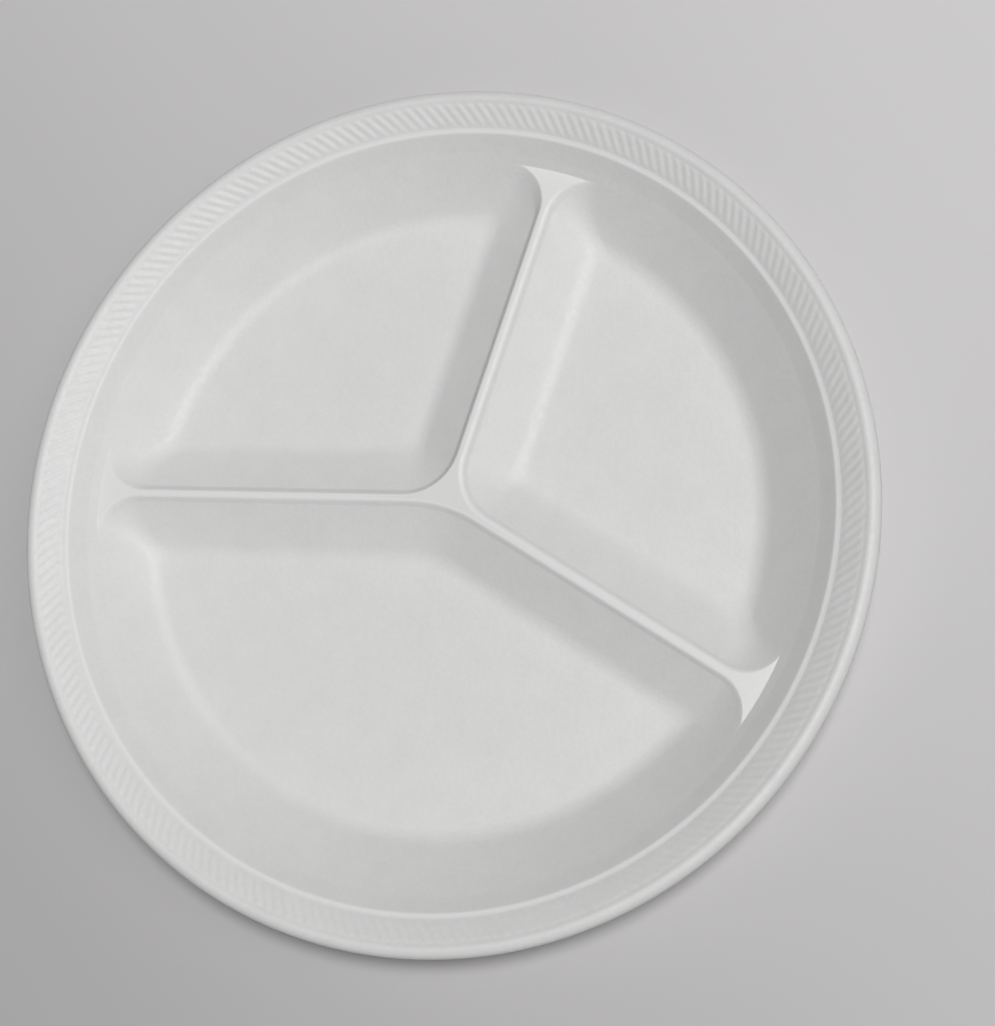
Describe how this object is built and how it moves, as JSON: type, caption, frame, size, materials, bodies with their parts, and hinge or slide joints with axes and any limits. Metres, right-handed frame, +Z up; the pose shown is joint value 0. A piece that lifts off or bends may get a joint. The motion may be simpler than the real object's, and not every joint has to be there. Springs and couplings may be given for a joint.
{
  "type": "divided compartment plate",
  "caption": "Round disposable foam plate with sloped walls, a raised Y-shaped divider between its large well and its small wells, and a hatched rim with a rolled edge.",
  "frame": {"origin": "centre of the plate at the level of the surface that it rests on", "axes": "+Z up out of the wells, +Y along the divider between the small wells, +X to the right of that divider"},
  "size_m": [0.225, 0.225, 0.0184],
  "materials": {
    "foam": "satin white foam"
  },
  "bodies": {
    "root": {"small_well_left": "foam", "small_well_right": "foam", "large_well": "foam", "divider_web": "foam", "upper_wall": "foam", "rim": "foam"}
  },
  "joints": []
}
